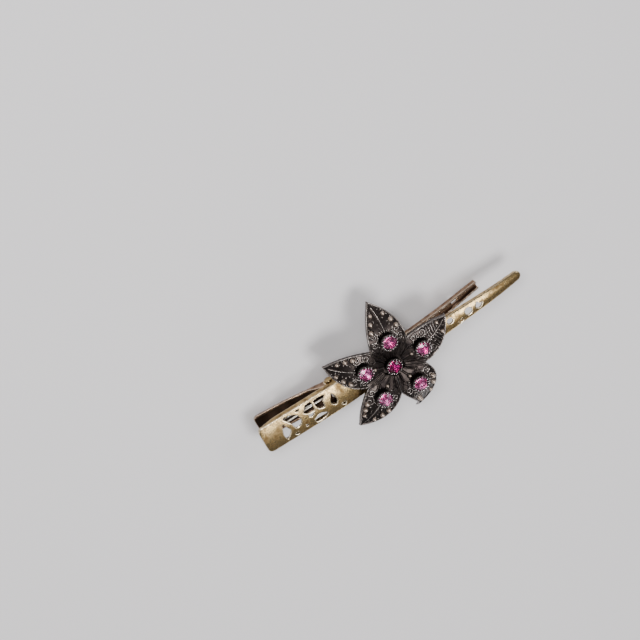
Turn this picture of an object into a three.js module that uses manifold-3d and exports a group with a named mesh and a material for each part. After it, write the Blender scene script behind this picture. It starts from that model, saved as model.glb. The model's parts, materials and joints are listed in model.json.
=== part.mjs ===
// Decorative beak clip for hair: two brass arms joined by a sprung hinge, and a jewelled flower.
// Millimetres. Each arm is laid out along X from its thumb end (x = 0) to its jaw tip, with the
// outside of the pierced upper arm facing +Z, and the whole clip is then stood on its lower arm.
import * as THREE from 'three';
import { mergeVertices } from 'three/addons/utils/BufferGeometryUtils.js';
import Module from 'manifold-3d';

const wasm = await Module();
wasm.setup();

// ---- clearances -----------------------------------------------------------------------------
const seatGap = 0.3;          // between pieces that rest on or are cut for each other
const pinClearance = 0.08;    // radial, hinge pin in the ears
const sideGap = 0.35;         // between an ear or a channel wall and what sits inside it

// ---- upper arm ------------------------------------------------------------------------------
const armLength = 130;
const sheet = 0.9;            // brass sheet, both arms
const tailWidth = 13.6;
const hingeWidth = 13.4;
const neckWidth = 7.6;
const neckFromTip = 38;
const beakWidth = 6.4;
const beakFromTip = 20;
const tipWidth = 4.6;
const tailCorner = 2.2;       // corner radius in plan
const bow = 1.9;              // rise of the face over the line from end to end
const tipDroop = 1.1;         // how much further the beak turns down
const tipDroopLength = 20;
const crown = 0.5;            // rise of the face across its width
const foldRadius = 0.5;
const flankAtTail = 3.4;      // height of the folded side
const flankAtTip = 1.7;
const tipLift = 0.95;         // how much the rim rises round the rounded tip
const tailFade = 10;          // length over which the side fades out at the thumb end

// ---- hinge ----------------------------------------------------------------------------------
const hingeFromTail = 36.8;
const hingeDrop = 4.9;        // pin axis under the outside of the face
const pinRadius = 1.0;
const earRadius = 2.4;
const rivetHeadRadius = 1.7;
const rivetHeadHeight = 0.7;

// ---- spring ---------------------------------------------------------------------------------
const wireRadius = 0.4;
const coilTurns = 3;          // and a half turn more between the two legs
const coilPitch = 0.94;
const legLength = 24;
const legClearance = 0.15;    // more room under the lower leg, for the bend of its arm

// ---- lower arm ------------------------------------------------------------------------------
const jawSetback = 16.4;      // how far the lower jaw ends short of the upper tip
const lowerTailWidth = 12.4;
const lowerTailSetback = 3.4; // how far the lower thumb tab ends short of the upper one
const lowerTailLength = 18;   // full-width stretch of the lower thumb tab
const jawWidth = 3.9;
const jawWall = 1.8;          // channel wall of the lower jaw, over its web
const tabWall = 0.6;          // channel wall of the lower thumb tab
const tabAngle = 16.4;        // fall of the thumb tab from the hinge, jaws shut, degrees
const tabTurnDown = 0.4;      // how far the end of the thumb tab turns down
const biteStart = 80;         // from here to its tip the lower jaw follows the upper arm
const slotFromJawTip = 12.4;
const slotLength = 2.8;
const slotWidth = 1.8;
const restOpening = 7.8;      // degrees the jaws stand open in the resting pose

// ---- flower ---------------------------------------------------------------------------------
const flowerFromTail = 63.0;
const petalCount = 5;
const flowerTurn = 7;         // first petal, degrees from the line towards the jaw tip
const petalRootRadius = 4.4;
const petalWidth = 17;
const petalTaper = 2.6;       // power of the curve from its widest place to the tip
const petalThickness = 0.9;
const rimWidth = 0.8;
const rimHeight = 0.45;
const veinHeight = 0.3;
const cupping = 0.6;          // fall of a petal from its midrib to its edge
const petalRootLift = 1.5;    // underside of a petal at its root, over the arm
const petalCrestLift = 3.7;   // upper side of a petal under its stone
// reach is a tip's distance from the middle, droop how far it hangs under the petal's crest,
// and sweep how far it is bent aside, in degrees
const petals = [
  { name: 'petal_jaw_side', reach: 30.3, droop: 2.7, sweep: 6 },
  { name: 'petal_front', reach: 30.4, droop: 8.4, sweep: 4 },
  { name: 'petal_tail_front', reach: 30.7, droop: 5.8, sweep: -3 },
  { name: 'petal_tail_back', reach: 31.2, droop: 5.2, sweep: -5 },
  { name: 'petal_back', reach: 30.0, droop: 9.2, sweep: -22 },
];
const stoneRingRadius = 14.2;
const basePlateRadius = 7;
const basePlateThickness = 0.9;
const mountShankRadius = 1.2;
const mountHeadRadius = 2.3;
const mountHeadHeight = 0.7;

// ---- stones and their claw cups -------------------------------------------------------------
const stoneRadius = 3.0;
const stoneCrown = 1.1;
const stonePavilion = 1.3;
const tableRadius = 1.7;
const cupWall = 0.45;
const cupFloor = 0.4;
const ringCupHeight = 2.1;
const centreCupHeight = 1.9;
const clawCount = 8;
const clawRadius = 0.42;
const beadRadius = 0.75;
const beadRows = [20.4, 22.6, 24.8];      // distances of the beads from the flower's middle

// ---- fineness of the skins ------------------------------------------------------------------
const upperSpacing = 4.4;     // between sections along each piece
const lowerSpacing = 3.4;
const petalInnerSpacing = 2.8;
const petalOuterSpacing = 2;
const openingSteps = 3;       // points on an opening's outline for each of its corners
const springSteps = 92;
const beyond = 1;             // how far a cut runs past the end of what it cuts

const radians = THREE.MathUtils.degToRad;
const antiqueBrass = new THREE.MeshStandardMaterial({ color: 0x9c8350, roughness: 0.42, metalness: 1 });
const paleBrass = new THREE.MeshStandardMaterial({ color: 0xb59c74, roughness: 0.38, metalness: 1 });
const steel = new THREE.MeshStandardMaterial({ color: 0x9a9892, roughness: 0.35, metalness: 1 });
const darkBronze = new THREE.MeshStandardMaterial({ color: 0x4d443b, roughness: 0.45, metalness: 1 });
const clawMetal = new THREE.MeshStandardMaterial({ color: 0x6b6156, roughness: 0.35, metalness: 1 });
const pinkGlass = new THREE.MeshStandardMaterial({ color: 0xe9b9c4, roughness: 0.06, metalness: 0 });
const fuchsiaGlass = new THREE.MeshStandardMaterial({ color: 0xb02a6b, roughness: 0.06, metalness: 0 });

// ---- solids ---------------------------------------------------------------------------------
function toSolid(geometry) {
  const bare = geometry.clone();
  bare.deleteAttribute('normal');
  bare.deleteAttribute('uv');
  const merged = mergeVertices(bare, 1e-5);
  const vertProperties = new Float32Array(merged.attributes.position.array);
  const triVerts = new Uint32Array(merged.index.array);
  return new wasm.Manifold(new wasm.Mesh({ numProp: 3, vertProperties, triVerts }));
}

function toGeometry(solid) {
  const mesh = solid.getMesh();
  const geometry = new THREE.BufferGeometry();
  const positions = new Float32Array(mesh.vertProperties);
  geometry.setAttribute('position', new THREE.BufferAttribute(positions, 3));
  geometry.setIndex(new THREE.BufferAttribute(new Uint32Array(mesh.triVerts), 1));
  geometry.computeVertexNormals();
  return geometry;
}

// A closed skin through rings of points. Each ring runs counter-clockwise seen from the far end.
function loft(rings) {
  const count = rings[0].length;
  const positions = rings.flat().flatMap((point) => [point.x, point.y, point.z]);
  const index = [];
  for (let ring = 0; ring < rings.length - 1; ring++) {
    for (let step = 0; step < count; step++) {
      const here = ring * count + step;
      const beside = ring * count + (step + 1) % count;
      index.push(here, beside, beside + count, here, beside + count, here + count);
    }
  }
  const end = (rings.length - 1) * count;
  const flat = rings[0].map((point) => new THREE.Vector2(point.y, point.z));
  for (const [a, b, c] of THREE.ShapeUtils.triangulateShape(flat, [])) {
    index.push(a, c, b, end + a, end + b, end + c);
  }
  const geometry = new THREE.BufferGeometry();
  geometry.setAttribute('position', new THREE.Float32BufferAttribute(positions, 3));
  geometry.setIndex(index);
  return geometry;
}

function disc(radius, from, to, x, z, sides = 32) {
  const geometry = new THREE.CylinderGeometry(radius, radius, to - from, sides);
  geometry.translate(x, (from + to) / 2, z);
  return geometry;
}

function named(name, geometry, material) {
  const mesh = new THREE.Mesh(geometry, material);
  mesh.name = name;
  return mesh;
}

// ---- the line of the upper arm --------------------------------------------------------------
function between(x, stops) {
  const last = stops.length - 1;
  let right = stops.findIndex(([at]) => at >= x);
  right = right < 0 ? last : Math.max(right, 1);
  const [x0, y0] = stops[right - 1];
  const [x1, y1] = stops[right];
  return THREE.MathUtils.lerp(y0, y1, THREE.MathUtils.clamp((x - x0) / (x1 - x0), 0, 1));
}

function faceHeight(x) {
  const across = 2 * x / armLength - 1;
  const droop = Math.max(0, (x - armLength + tipDroopLength) / tipDroopLength);
  return bow * (1 - across * across) - tipDroop * droop * droop;
}

function upperWidth(x) {
  return between(x, [
    [0, tailWidth],
    [hingeFromTail, hingeWidth],
    [armLength - neckFromTip, neckWidth],
    [armLength - beakFromTip, beakWidth],
    [armLength, tipWidth],
  ]);
}

function flankHeight(x) {
  const faded = sheet + crown + seatGap;
  const full = between(x, [
    [hingeFromTail, flankAtTail],
    [armLength - tipWidth / 2, flankAtTip],
    [armLength, flankAtTip - tipLift],
  ]);
  return THREE.MathUtils.lerp(faded, full, THREE.MathUtils.smoothstep(x, 0, tailFade));
}

// Half width in plan, with the two corners of the thumb end and the round tip.
function upperHalf(x) {
  const half = upperWidth(x) / 2;
  const tip = tipWidth / 2;
  const intoCorner = Math.max(0, tailCorner - x);
  const intoTip = Math.min(tip, Math.max(0, x - armLength + tip));
  const corner = tailCorner - Math.sqrt(tailCorner ** 2 - intoCorner ** 2);
  const round = tip - Math.sqrt(tip ** 2 - intoTip ** 2);
  return half - corner - round;
}

function stations(from, to, spacing) {
  const count = Math.max(1, Math.round((to - from) / spacing));
  return Array.from({ length: count + 1 }, (_, i) => THREE.MathUtils.lerp(from, to, i / count));
}

// Section of the upper arm with a crowned top, `inset` inside the outer skin.
function archRing(x, half, inset, rimZ) {
  const side = half - inset;
  const top = faceHeight(x) - inset;
  const shares = [1, 0.66, 0.33, 0, -0.33, -0.66, -1];
  const edge = Math.max(side - foldRadius, side * 0.6);
  const face = shares.map((share) => {
    const y = share * edge;
    return new THREE.Vector3(x, y, top - crown * (y / half) ** 2);
  });
  const fold = top - crown - (side - edge);
  return [
    new THREE.Vector3(x, side, rimZ),
    new THREE.Vector3(x, side, fold),
    ...face,
    new THREE.Vector3(x, -side, fold),
    new THREE.Vector3(x, -side, rimZ),
  ];
}

function archSkin() {
  const tip = tipWidth / 2;
  const corner = [0, 0.15, 0.45, 1].map((share) => share * tailCorner);
  const round = [0.4, 0.7, 0.88, 0.97].map((share) => armLength - tip + share * tip);
  const along = [...corner, ...stations(tailCorner, armLength - tip, upperSpacing).slice(1), ...round];
  return loft(along.map((x) => archRing(x, upperHalf(x), 0, faceHeight(x) - flankHeight(x))));
}

function archHollow() {
  const tip = tipWidth / 2;
  const deep = -3 * flankAtTail;
  const along = [-beyond, ...stations(tailCorner, armLength - tip, upperSpacing)];
  const straight = along.map((x) => archRing(x, upperWidth(Math.max(x, 0)) / 2, sheet, deep));
  const tipRings = [0.5, 0.8].map((share) => {
    const x = armLength - tip + share * (tip - sheet);
    const half = sheet + (tip - sheet) * Math.sqrt(1 - share * share);
    return archRing(x, half, sheet, deep);
  });
  return loft([...straight, ...tipRings]);
}

// ---- pierced openings, as x along the arm and y across it -----------------------------------
function opening(points, tension = 0.5) {
  const corners = points.map(([x, y]) => new THREE.Vector3(x, y, 0));
  const curve = new THREE.CatmullRomCurve3(corners, true, 'catmullrom', tension);
  const outline = curve.getPoints(points.length * openingSteps).slice(0, -1);
  return new THREE.Shape(outline.map(({ x, y }) => new THREE.Vector2(x, y)));
}

function roundOpening(x, y, radius) {
  const shape = new THREE.Shape();
  shape.absarc(x, y, radius, 0, 2 * Math.PI);
  return shape;
}

function scrollwork() {
  return [
    opening([[10.4, 3.2], [11.5, 0.5], [12.3, -1.9], [9.6, -4.9], [8.9, -2.0]], 0.3),
    opening([
      [11.6, 5.3], [14.6, 5.2], [17.4, 3.6], [18.4, 1.0], [17.4, -1.6], [14.9, -2.0], [13.8, 1.4],
    ], 0.4),
    opening([[17.5, 5.6], [19.8, 5.6], [18.7, 4.7]], 0.2),
    opening([[12.9, -4.8], [15.0, -4.2], [14.8, -5.6]], 0.2),
    roundOpening(19.4, -4.0, 0.45),
    opening([[20.6, 2.6], [22.6, 5.2], [25.2, 5.4], [25.2, 1.0], [22.0, 1.2]], 0.3),
    opening([[21.6, 0.0], [24.6, 0.1], [23.0, -1.3]], 0.3),
    opening([[26.7, 5.2], [31.6, 4.9], [29.9, 2.4], [29.6, -0.4], [26.8, 0.8]], 0.3),
    opening([[23.2, -3.9], [25.8, -2.2], [28.0, -2.6], [29.6, -4.3], [26.6, -5.4], [24.0, -5.2]], 0.5),
    opening([[34.6, 3.5], [35.7, -0.4], [34.4, -2.4], [32.8, -0.6]], 0.5),
    opening([[36.4, -3.9], [38.6, -3.6], [37.9, -5.2]], 0.3),
  ];
}

function beakwork() {
  return [
    roundOpening(93.4, 1.2, 1.35),
    opening([[96.4, -1.9], [98.6, -1.2], [98.9, -2.5], [97.0, -2.7]], 0.4),
    opening([[100.8, 0.9], [102.4, 2.0], [104.1, 0.8], [103.6, -1.3], [101.4, -1.4]], 0.4),
    opening([[106.0, -0.6], [107.2, 1.7], [108.2, 0.4], [109.6, 0.1], [107.8, -1.9]], 0.3),
  ];
}

function cutter(shape, from, to) {
  const options = { depth: to - from, bevelEnabled: false, curveSegments: 7 };
  const geometry = new THREE.ExtrudeGeometry(shape, options);
  return toSolid(geometry.translate(0, 0, from));
}

const pinX = hingeFromTail;
const pinZ = faceHeight(pinX) - hingeDrop;
const upperEarY = hingeWidth / 2;
const lowerEarY = upperEarY - sheet - sideGap;

// Two discs round the pin, one in the plane of each side wall, ready to be joined to an arm.
function ears(outerY) {
  const wall = (side) => toSolid(disc(
    earRadius,
    side > 0 ? outerY - sheet : -outerY,
    side > 0 ? outerY : sheet - outerY,
    pinX,
    pinZ,
    28,
  ));
  return wall(1).add(wall(-1));
}

function pinHole() {
  const reach = tailWidth;
  return toSolid(disc(pinRadius + pinClearance, -reach, reach, pinX, pinZ, 24));
}

function upperArm() {
  const deep = -armLength;
  const pierced = [...scrollwork(), ...beakwork()];
  pierced.push(roundOpening(flowerFromTail, 0, mountShankRadius + seatGap));
  let arm = toSolid(archSkin()).subtract(toSolid(archHollow()));
  for (const shape of pierced) {
    arm = arm.subtract(cutter(shape, deep, -deep));
  }
  arm = arm.add(ears(upperEarY)).subtract(pinHole());
  return named('upper_arm', toGeometry(arm), antiqueBrass);
}

// ---- lower arm, drawn with the jaws shut -----------------------------------------------------
const jawTip = armLength - jawSetback;
const webUnderPin = pinRadius + seatGap + 2 * wireRadius + wireRadius + seatGap;
const bendHalf = 5;

function biteHeight(x) {
  return faceHeight(x) - sheet - crown - seatGap;
}

// Inner side of the web: the thumb tab falls away, the jaw rises and then follows the upper arm.
function webHeight(x) {
  const intoEnd = Math.max(0, tailCorner + lowerTailSetback - x) / tailCorner;
  const turnDown = tabTurnDown * Math.min(1, intoEnd) ** 2;
  const tab = pinZ - webUnderPin - Math.tan(radians(tabAngle)) * (pinX - x) - turnDown;
  const level = pinZ - webUnderPin;
  const follow = biteHeight(Math.max(x, biteStart)) - jawWall;
  const rise = THREE.MathUtils.smoothstep(x, pinX + bendHalf, biteStart);
  const jaw = THREE.MathUtils.lerp(level, follow, rise);
  return THREE.MathUtils.lerp(tab, jaw, THREE.MathUtils.smoothstep(x, pinX - bendHalf, pinX));
}

function lowerRimHeight(x) {
  const tab = webHeight(x) + tabWall;
  const jaw = webHeight(x) + jawWall;
  const atPin = pinZ;
  const toPin = THREE.MathUtils.smoothstep(x, pinX - 2 * bendHalf, pinX - 1);
  const fromPin = THREE.MathUtils.smoothstep(x, pinX + 1, biteStart);
  return x < pinX ? THREE.MathUtils.lerp(tab, atPin, toPin) : THREE.MathUtils.lerp(atPin, jaw, fromPin);
}

function lowerHalf(x) {
  const intoCorner = Math.max(0, tailCorner - (x - lowerTailSetback));
  const corner = tailCorner - Math.sqrt(tailCorner ** 2 - intoCorner ** 2);
  const beforeHinge = pinX - earRadius - bendHalf;
  const full = between(x, [
    [0, lowerTailWidth],
    [Math.min(lowerTailLength, beforeHinge - 1), lowerTailWidth],
    [beforeHinge, 2 * lowerEarY],
    [pinX + earRadius, 2 * lowerEarY],
    [armLength - neckFromTip, Math.min(neckWidth - 2 * (sheet + sideGap), jawWidth + 1)],
    [jawTip, jawWidth],
  ]);
  return full / 2 - corner;
}

function troughRing(x, half, floor, rim) {
  const bevel = Math.min(0.5, half / 3);
  return [
    [half, floor + bevel],
    [half, rim],
    [-half, rim],
    [-half, floor + bevel],
    [bevel - half, floor],
    [half - bevel, floor],
  ].map(([y, z]) => new THREE.Vector3(x, y, z));
}

function lowerArm() {
  const straight = lowerTailSetback + tailCorner;
  const corner = [0, 0.15, 0.45].map((share) => lowerTailSetback + share * tailCorner);
  const along = [...corner, ...stations(straight, jawTip, lowerSpacing)];
  const skin = along.map((x) => troughRing(x, lowerHalf(x), webHeight(x) - sheet, lowerRimHeight(x)));
  const hollowAlong = [-beyond, ...stations(straight, jawTip, lowerSpacing), jawTip + beyond];
  const hollow = hollowAlong.map((x) => {
    const at = THREE.MathUtils.clamp(x, straight, jawTip);
    return troughRing(x, lowerHalf(at) - sheet, webHeight(x), lowerRimHeight(at) + armLength);
  });
  const slotX = jawTip - slotFromJawTip;
  const slot = new THREE.BoxGeometry(slotLength, slotWidth, armLength);
  slot.translate(slotX, 0, 0);
  const arm = toSolid(loft(skin))
    .subtract(toSolid(loft(hollow)))
    .subtract(toSolid(slot))
    .add(ears(lowerEarY))
    .subtract(pinHole());
  const geometry = toGeometry(arm);
  geometry.translate(-pinX, 0, -pinZ);
  const mesh = named('lower_arm', geometry, paleBrass);
  mesh.position.set(pinX, 0, pinZ);
  mesh.rotation.y = radians(restOpening);
  return mesh;
}

// ---- hinge pin and spring -------------------------------------------------------------------
function hingePin() {
  const face = upperEarY + seatGap;
  const top = face + rivetHeadHeight;
  const half = [
    new THREE.Vector2(pinRadius, face),
    new THREE.Vector2(rivetHeadRadius, face),
    new THREE.Vector2(rivetHeadRadius * 0.92, face + rivetHeadHeight * 0.45),
    new THREE.Vector2(rivetHeadRadius * 0.6, face + rivetHeadHeight * 0.85),
    new THREE.Vector2(0, top),
  ];
  const mirrored = half.map(({ x, y }) => new THREE.Vector2(x, -y)).reverse();
  const mesh = named('hinge_pin', new THREE.LatheGeometry([...mirrored, ...half], 20), antiqueBrass);
  mesh.position.set(pinX, 0, pinZ);
  return mesh;
}

// Runs along the lower leg, round the coil and back along the upper leg.
class SpringPath extends THREE.Curve {
  constructor() {
    super();
    this.radius = pinRadius + seatGap + wireRadius;
    this.sweep = Math.PI * (2 * coilTurns + 1);
    this.rise = coilPitch * (coilTurns + 0.5);
    this.coilLength = Math.hypot(this.radius * this.sweep, this.rise);
    this.total = this.coilLength + 2 * legLength;
    const endX = -legLength;
    const lowerZ = (x) => {
      const wire = webHeight(pinX + x) + seatGap + legClearance + wireRadius;
      const turned = new THREE.Vector2(x, wire - pinZ);
      return turned.rotateAround(new THREE.Vector2(), -radians(restOpening)).y;
    };
    const upperZ = (x) => faceHeight(pinX + x) - sheet - crown - seatGap - wireRadius - pinZ;
    this.lowerEnd = new THREE.Vector3(endX, -this.rise / 2, lowerZ(endX));
    this.upperEnd = new THREE.Vector3(endX, this.rise / 2, Math.min(this.radius, upperZ(endX)));
  }

  coil(share) {
    const angle = share * this.sweep - Math.PI / 2;
    const y = (share - 0.5) * this.rise;
    return new THREE.Vector3(this.radius * Math.cos(angle), y, this.radius * Math.sin(angle));
  }

  getPoint(t, target = new THREE.Vector3()) {
    const at = t * this.total;
    if (at < legLength) {
      return target.lerpVectors(this.lowerEnd, this.coil(0), at / legLength);
    }
    if (at > legLength + this.coilLength) {
      const out = (at - legLength - this.coilLength) / legLength;
      return target.lerpVectors(this.coil(1), this.upperEnd, out);
    }
    return target.copy(this.coil((at - legLength) / this.coilLength));
  }
}

function torsionSpring() {
  const wire = new THREE.Shape();
  wire.absarc(0, 0, wireRadius, 0, 2 * Math.PI);
  const extrudePath = new SpringPath();
  const options = { extrudePath, steps: springSteps, bevelEnabled: false, curveSegments: 4 };
  const mesh = named('torsion_spring', new THREE.ExtrudeGeometry(wire, options), steel);
  mesh.position.set(pinX, 0, pinZ);
  return mesh;
}

// ---- flower, drawn about its own middle with the outside of the arm at z = 0 ------------------
function petalHalf(radius, reach) {
  const wedge = radius * Math.tan(Math.PI / petalCount) - seatGap / 2 / Math.cos(Math.PI / petalCount);
  const widest = petalWidth / 2 / Math.tan(Math.PI / petalCount);
  const share = THREE.MathUtils.clamp((radius - widest) / (reach - widest), 0, 1);
  return Math.max(0.25, Math.min(wedge, petalWidth / 2 * (1 - share ** petalTaper) - seatGap / 2));
}

// Share of the way from the crest of a petal to its tip.
function outwards(radius, bend) {
  return Math.max(0, (radius - stoneRingRadius) / (bend.reach - stoneRingRadius));
}

function petalTop(radius, bend) {
  const root = petalRootLift + petalThickness;
  const crest = petalCrestLift;
  if (radius < stoneRingRadius) {
    const share = (radius - petalRootRadius) / (stoneRingRadius - petalRootRadius);
    return THREE.MathUtils.lerp(root, crest, Math.sin(share * Math.PI / 2));
  }
  return crest - bend.droop * outwards(radius, bend) ** 2;
}

function petalRing(radius, bend) {
  const half = petalHalf(radius, bend.reach);
  const top = petalTop(radius, bend);
  const rim = Math.min(rimWidth, half * 0.3);
  const vein = Math.min(0.5, half * 0.3);
  const fall = (y) => top - cupping * (y / (petalWidth / 2)) ** 2;
  const outline = [
    [half, fall(half) - petalThickness],
    [half, fall(half) + rimHeight],
    [half - rim, fall(half) + rimHeight],
    [half - rim * 1.4, fall(half - rim)],
    [vein, fall(vein)],
    [0, top + veinHeight],
    [-vein, fall(vein)],
    [rim * 1.4 - half, fall(half - rim)],
    [rim - half, fall(half) + rimHeight],
    [-half, fall(half) + rimHeight],
    [-half, fall(half) - petalThickness],
    [0, top - petalThickness],
  ];
  const sweep = radians(bend.sweep) * outwards(radius, bend) ** 2;
  return outline.map(([y, z]) => {
    const point = new THREE.Vector3(radius, y, z);
    return point.applyAxisAngle(new THREE.Vector3(0, 0, 1), sweep);
  });
}

function bead(x, y, z) {
  const ball = new THREE.SphereGeometry(beadRadius, 7, 5);
  return toSolid(ball.translate(x, y, z + beadRadius * 0.2));
}

// Two rows of beads run back from the tip of a petal, inside its rim.
function petalBeads(bend) {
  const beads = [];
  for (const radius of beadRows) {
    const sweep = radians(bend.sweep) * outwards(radius, bend) ** 2;
    const aside = petalHalf(radius, bend.reach) - rimWidth * 1.4 - beadRadius;
    for (const side of [-1, 1]) {
      const at = new THREE.Vector3(radius, side * aside, petalTop(radius, bend));
      at.applyAxisAngle(new THREE.Vector3(0, 0, 1), sweep);
      beads.push(bead(at.x, at.y, at.z));
    }
  }
  return beads;
}

function petal(bend, turn) {
  const inner = stations(petalRootRadius, stoneRingRadius, petalInnerSpacing);
  const outer = stations(stoneRingRadius, bend.reach, petalOuterSpacing).slice(1);
  let solid = toSolid(loft([...inner, ...outer].map((radius) => petalRing(radius, bend))));
  for (const ball of petalBeads(bend)) {
    solid = solid.add(ball);
  }
  const mesh = named(bend.name, toGeometry(solid), darkBronze);
  mesh.rotation.z = turn;
  return mesh;
}

function flowerBase() {
  const hole = mountShankRadius + seatGap;
  const profile = [
    [hole, 0],
    [basePlateRadius, 0],
    [basePlateRadius, basePlateThickness * 0.6],
    [basePlateRadius - 0.5, basePlateThickness],
    [hole, basePlateThickness],
    [hole, 0],
  ].map(([x, y]) => new THREE.Vector2(x, y));
  const plate = new THREE.LatheGeometry(profile, 24).rotateX(Math.PI / 2);
  const mesh = named('flower_base', plate, darkBronze);
  mesh.position.z = seatGap;
  return mesh;
}

function flowerRivet() {
  const headTop = -sheet - crown - seatGap;
  const profile = [
    [0, headTop - mountHeadHeight],
    [mountHeadRadius * 0.7, headTop - mountHeadHeight],
    [mountHeadRadius, headTop - mountHeadHeight * 0.5],
    [mountHeadRadius, headTop],
    [mountShankRadius, headTop],
    [mountShankRadius, seatGap + basePlateThickness],
    [0, seatGap + basePlateThickness],
  ].map(([x, y]) => new THREE.Vector2(x, y));
  const rivet = new THREE.LatheGeometry(profile, 20).rotateX(Math.PI / 2);
  return named('flower_rivet', rivet, antiqueBrass);
}

function clawCup(name, height) {
  const inner = stoneRadius + seatGap;
  const outer = inner + cupWall;
  const profile = [
    [0, 0],
    [outer * 0.8, 0],
    [outer, height * 0.5],
    [outer, height],
    [inner, height],
    [inner, height - seatGap],
    [inner * 0.8, cupFloor],
    [0, cupFloor],
  ].map(([x, y]) => new THREE.Vector2(x, y));
  let cup = toSolid(new THREE.LatheGeometry(profile, 20).rotateX(Math.PI / 2));
  for (let claw = 0; claw < clawCount; claw++) {
    const angle = 2 * Math.PI * (claw + 0.5) / clawCount;
    const reach = outer - clawRadius * 0.6;
    const ball = new THREE.SphereGeometry(clawRadius, 6, 4);
    ball.scale(1, 1, 1.5).translate(reach * Math.cos(angle), reach * Math.sin(angle), height);
    cup = cup.add(toSolid(ball));
  }
  return named(name, toGeometry(cup), clawMetal);
}

function stone(name, material) {
  const profile = [
    [0, -stonePavilion],
    [stoneRadius * 0.55, -stonePavilion],
    [stoneRadius, -0.1],
    [stoneRadius, 0.1],
    [tableRadius, stoneCrown],
    [0, stoneCrown],
  ].map(([x, y]) => new THREE.Vector2(x, y));
  return named(name, new THREE.LatheGeometry(profile, 16).rotateX(Math.PI / 2), material);
}

// A cup with its stone. The stone's girdle stands at the lip of the cup.
function setting(label, material, height) {
  const group = new THREE.Group();
  const gem = stone(`${label}_stone`, material);
  gem.position.z = height;
  group.add(clawCup(`${label}_claw_cup`, height), gem);
  return group;
}

function flower() {
  const group = new THREE.Group();
  group.add(flowerBase(), flowerRivet());
  petals.forEach((bend, i) => {
    const turn = radians(flowerTurn) + 2 * Math.PI * i / petalCount;
    const seat = setting(bend.name, pinkGlass, ringCupHeight);
    const lift = petalCrestLift + veinHeight + seatGap;
    seat.position.set(stoneRingRadius * Math.cos(turn), stoneRingRadius * Math.sin(turn), lift);
    group.add(petal(bend, turn), seat);
  });
  const centre = setting('centre', fuchsiaGlass, centreCupHeight);
  centre.position.z = seatGap + basePlateThickness + seatGap;
  group.add(centre);
  group.position.set(flowerFromTail, 0, faceHeight(flowerFromTail));
  return group;
}

// ---- the clip, stood on the two ends of its lower arm -----------------------------------------
function footAt(x) {
  const foot = new THREE.Vector2(x - pinX, webHeight(x) - sheet - pinZ);
  return foot.rotateAround(new THREE.Vector2(), -radians(restOpening));
}

const clip = new THREE.Group();
clip.add(upperArm(), lowerArm(), hingePin(), torsionSpring(), flower());
const tabFoot = footAt(lowerTailSetback);
const jawFoot = footAt(jawTip);
clip.rotation.y = Math.atan2(jawFoot.y - tabFoot.y, jawFoot.x - tabFoot.x);

const group = new THREE.Group();
group.add(clip);
group.rotation.z = Math.PI;
group.updateMatrixWorld(true);
const box = new THREE.Box3().setFromObject(group, true);
group.position.set(-(box.min.x + box.max.x) / 2, -(box.min.y + box.max.y) / 2, -box.min.z);
group.updateMatrixWorld(true);

export default group;
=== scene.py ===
"""Looks of a jewelled beak clip: worn antique brass arms, a sprung hinge and a bronze flower.

Shapes are drawn in millimetres in the clip's own frame: x runs from the thumb end of the upper arm
to its jaw tip, y across the clip and z out of the face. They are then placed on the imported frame.
"""
import json
import math
import random

import bmesh
import bpy
import numpy as np
from mathutils import Matrix, Vector
from mathutils.kdtree import KDTree


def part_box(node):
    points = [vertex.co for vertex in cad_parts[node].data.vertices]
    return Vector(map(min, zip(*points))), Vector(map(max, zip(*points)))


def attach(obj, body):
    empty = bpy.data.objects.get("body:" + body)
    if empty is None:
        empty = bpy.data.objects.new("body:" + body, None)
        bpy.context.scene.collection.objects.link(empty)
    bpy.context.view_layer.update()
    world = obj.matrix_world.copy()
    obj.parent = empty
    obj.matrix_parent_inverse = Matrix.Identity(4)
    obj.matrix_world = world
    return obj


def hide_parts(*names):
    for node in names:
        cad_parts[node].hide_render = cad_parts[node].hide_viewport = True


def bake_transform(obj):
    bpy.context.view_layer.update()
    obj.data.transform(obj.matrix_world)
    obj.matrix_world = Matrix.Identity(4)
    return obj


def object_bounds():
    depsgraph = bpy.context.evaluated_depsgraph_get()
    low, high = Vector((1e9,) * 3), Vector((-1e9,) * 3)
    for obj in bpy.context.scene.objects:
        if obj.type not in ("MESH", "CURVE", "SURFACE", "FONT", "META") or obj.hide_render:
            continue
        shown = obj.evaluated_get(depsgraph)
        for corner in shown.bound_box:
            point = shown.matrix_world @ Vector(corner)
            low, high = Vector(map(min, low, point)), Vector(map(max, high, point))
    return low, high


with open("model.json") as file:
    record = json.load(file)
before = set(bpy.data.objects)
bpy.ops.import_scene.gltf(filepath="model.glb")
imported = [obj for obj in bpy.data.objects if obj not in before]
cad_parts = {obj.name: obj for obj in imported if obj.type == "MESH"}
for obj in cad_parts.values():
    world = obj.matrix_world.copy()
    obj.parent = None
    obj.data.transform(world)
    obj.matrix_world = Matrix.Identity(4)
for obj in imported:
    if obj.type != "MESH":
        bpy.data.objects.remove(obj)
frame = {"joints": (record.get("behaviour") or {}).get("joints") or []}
cad_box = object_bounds()
scene = bpy.context.scene
seed = random.Random(11)

# ---- sizes, in millimetres -----------------------------------------------------------------------
metres = 0.001
seat_gap = 0.3
side_gap = 0.35

arm_length = 130
sheet = 0.9
tail_width = 13.6
hinge_width = 13.4
neck_width = 7.6
neck_from_tip = 38
beak_width = 6.4
beak_from_tip = 20
tip_width = 4.6
tail_corner = 2.2
bow = 1.9
tip_droop = 1.1
tip_droop_length = 20
crown = 0.5
fold_radius = 0.6
flank_at_tail = 3.4
flank_at_tip = 1.7
tip_lift = 0.95
tail_fade = 10

hinge_from_tail = 36.8
hinge_drop = 4.9
pin_radius = 1.0
pin_clearance = 0.08
ear_radius = 2.4
rivet_head_radius = 1.7
rivet_head_height = 0.7
rivet_edge = 0.15

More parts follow.
